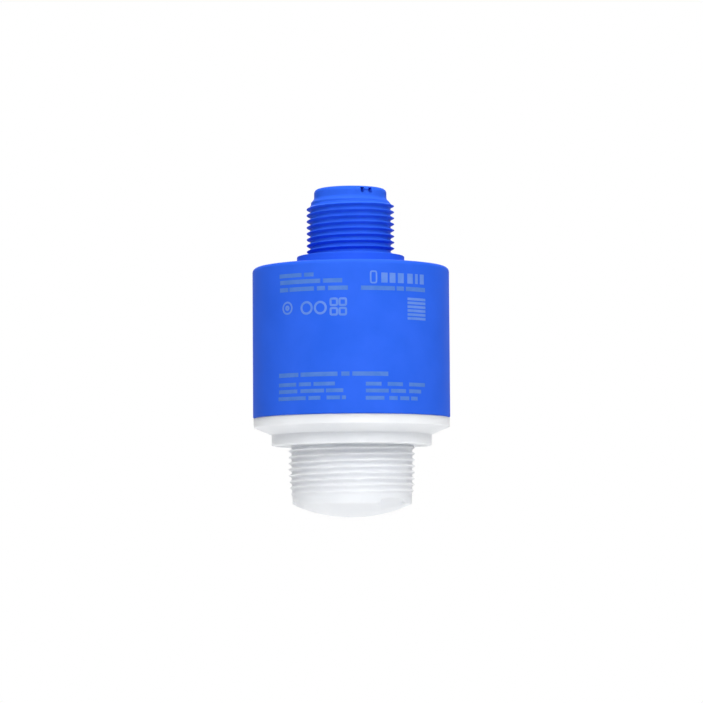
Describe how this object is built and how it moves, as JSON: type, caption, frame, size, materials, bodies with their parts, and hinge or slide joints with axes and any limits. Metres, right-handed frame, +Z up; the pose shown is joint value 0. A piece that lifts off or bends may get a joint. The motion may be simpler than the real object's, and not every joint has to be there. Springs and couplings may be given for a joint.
{
  "type": "radar level transmitter",
  "caption": "Compact radar level transmitter: round moulded housing with a threaded cable nipple above, and a white threaded process fitting with a domed lens below.",
  "frame": {"origin": "centre of the seal face, where the sensor's ring seats on the tank's boss", "axes": "+Z up the sensor's axis towards the cable nipple, -Z down into the tank, -Y the printed front"},
  "size_m": [0.0745, 0.0744, 0.1243],
  "materials": {
    "housing_blue": "satin moulded plastic",
    "fitting_white": "satin moulded plastic",
    "black_rubber": "matte rubber",
    "cast_metal": "die-cast",
    "screw_steel": "zinc plated",
    "board_green": "solder mask",
    "chip_black": "moulded epoxy",
    "can_metal": "tin plated",
    "foam_grey": "foam",
    "connector_black": "moulded",
    "spacer_brass": "turned",
    "fuse_ceramic": "ceramic",
    "ferrite_grey": "pressed ferrite",
    "terminal_green": "moulded",
    "washer_plastic": "moulded",
    "gland_black": "moulded"
  },
  "bodies": {
    "root": {"housing": "housing_blue", "process_fitting": "fitting_white", "housing_seal_ring": "black_rubber", "horn_antenna": "cast_metal", "horn_screws": "screw_steel", "radar_board": "board_green", "radar_chip": "chip_black", "shield_can": "can_metal", "absorber_pad": "foam_grey", "board_socket": "connector_black", "board_header": "connector_black", "board_spacers": "spacer_brass", "main_board": "board_green", "board_screws": "screw_steel", "processor_chip": "chip_black", "memory_chip": "chip_black", "clock_crystal": "can_metal", "power_chip": "chip_black", "input_fuse": "fuse_ceramic", "surge_suppressors": "chip_black", "power_inductor": "ferrite_grey", "storage_capacitors": "can_metal", "wireless_module": "board_green", "terminal_block": "terminal_green", "terminal_screws": "screw_steel", "cable_seal": "black_rubber", "seal_washer": "washer_plastic", "gland_screw": "gland_black"}
  },
  "joints": []
}
